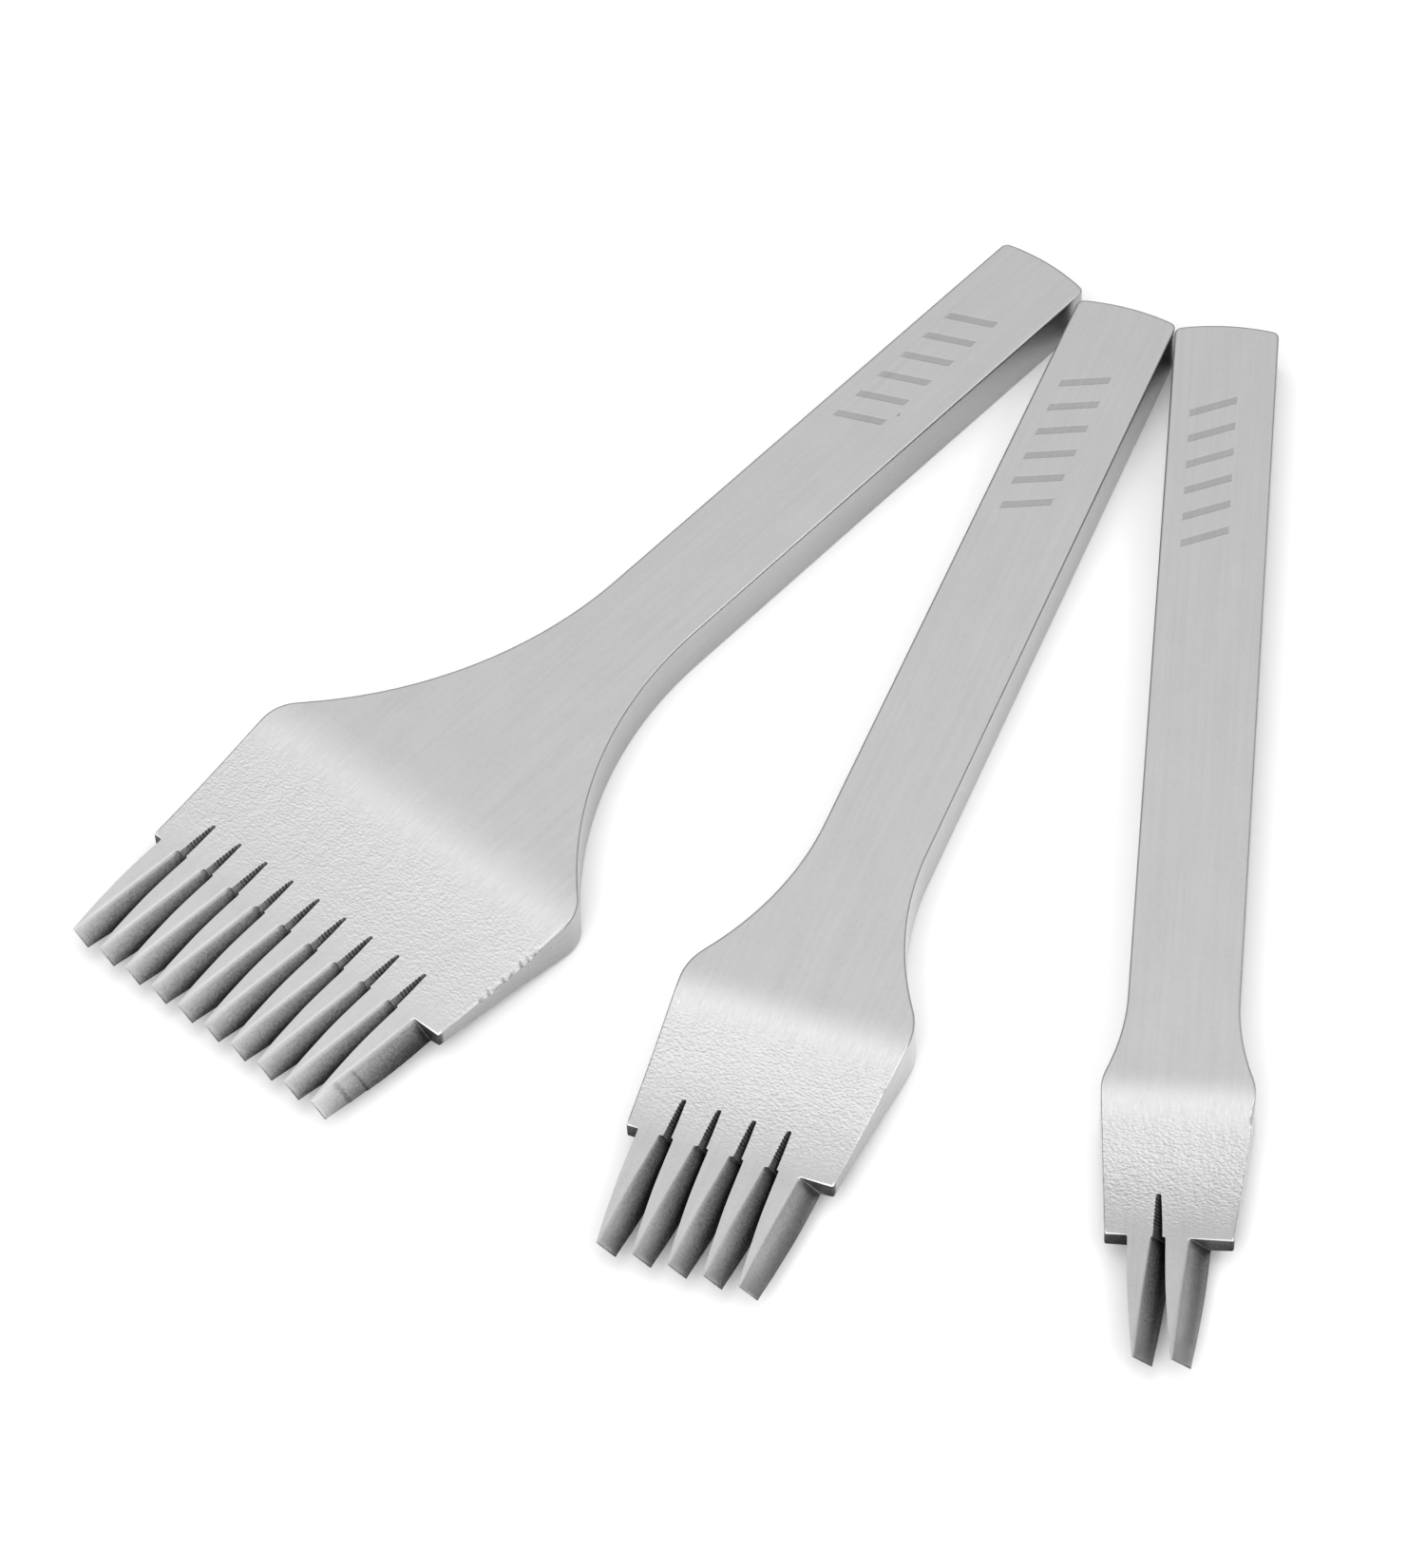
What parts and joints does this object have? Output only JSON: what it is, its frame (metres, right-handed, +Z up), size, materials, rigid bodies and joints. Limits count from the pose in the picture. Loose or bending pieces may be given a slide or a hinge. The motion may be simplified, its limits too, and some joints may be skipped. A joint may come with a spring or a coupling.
{
  "type": "pricking iron set",
  "caption": "Flat steel pricking irons in graded widths, each with a bar handle, flared wedge head and a row of slanted chisel prongs, lying fanned out.",
  "frame": {"origin": "centre of the set's bounding box, on the surface that the irons lie on", "axes": "+Z up out of the flat faces; the struck ends are towards +Y and the prongs towards -Y"},
  "size_m": [0.0942, 0.1066, 0.004],
  "materials": {
    "steel": "satin, brushed along the handle, peened on the head"
  },
  "bodies": {
    "ten_prong": {"ten_prong_iron": "steel"},
    "five_prong": {"five_prong_iron": "steel"},
    "two_prong": {"two_prong_iron": "steel"}
  },
  "joints": [
    {"name": "five_prong_lift", "type": "slide", "parent": "ten_prong", "child": "five_prong", "axis": [0, 0, 1], "range_m": [0, 0.06]},
    {"name": "two_prong_lift", "type": "slide", "parent": "ten_prong", "child": "two_prong", "axis": [0, 0, 1], "range_m": [0, 0.06]}
  ]
}
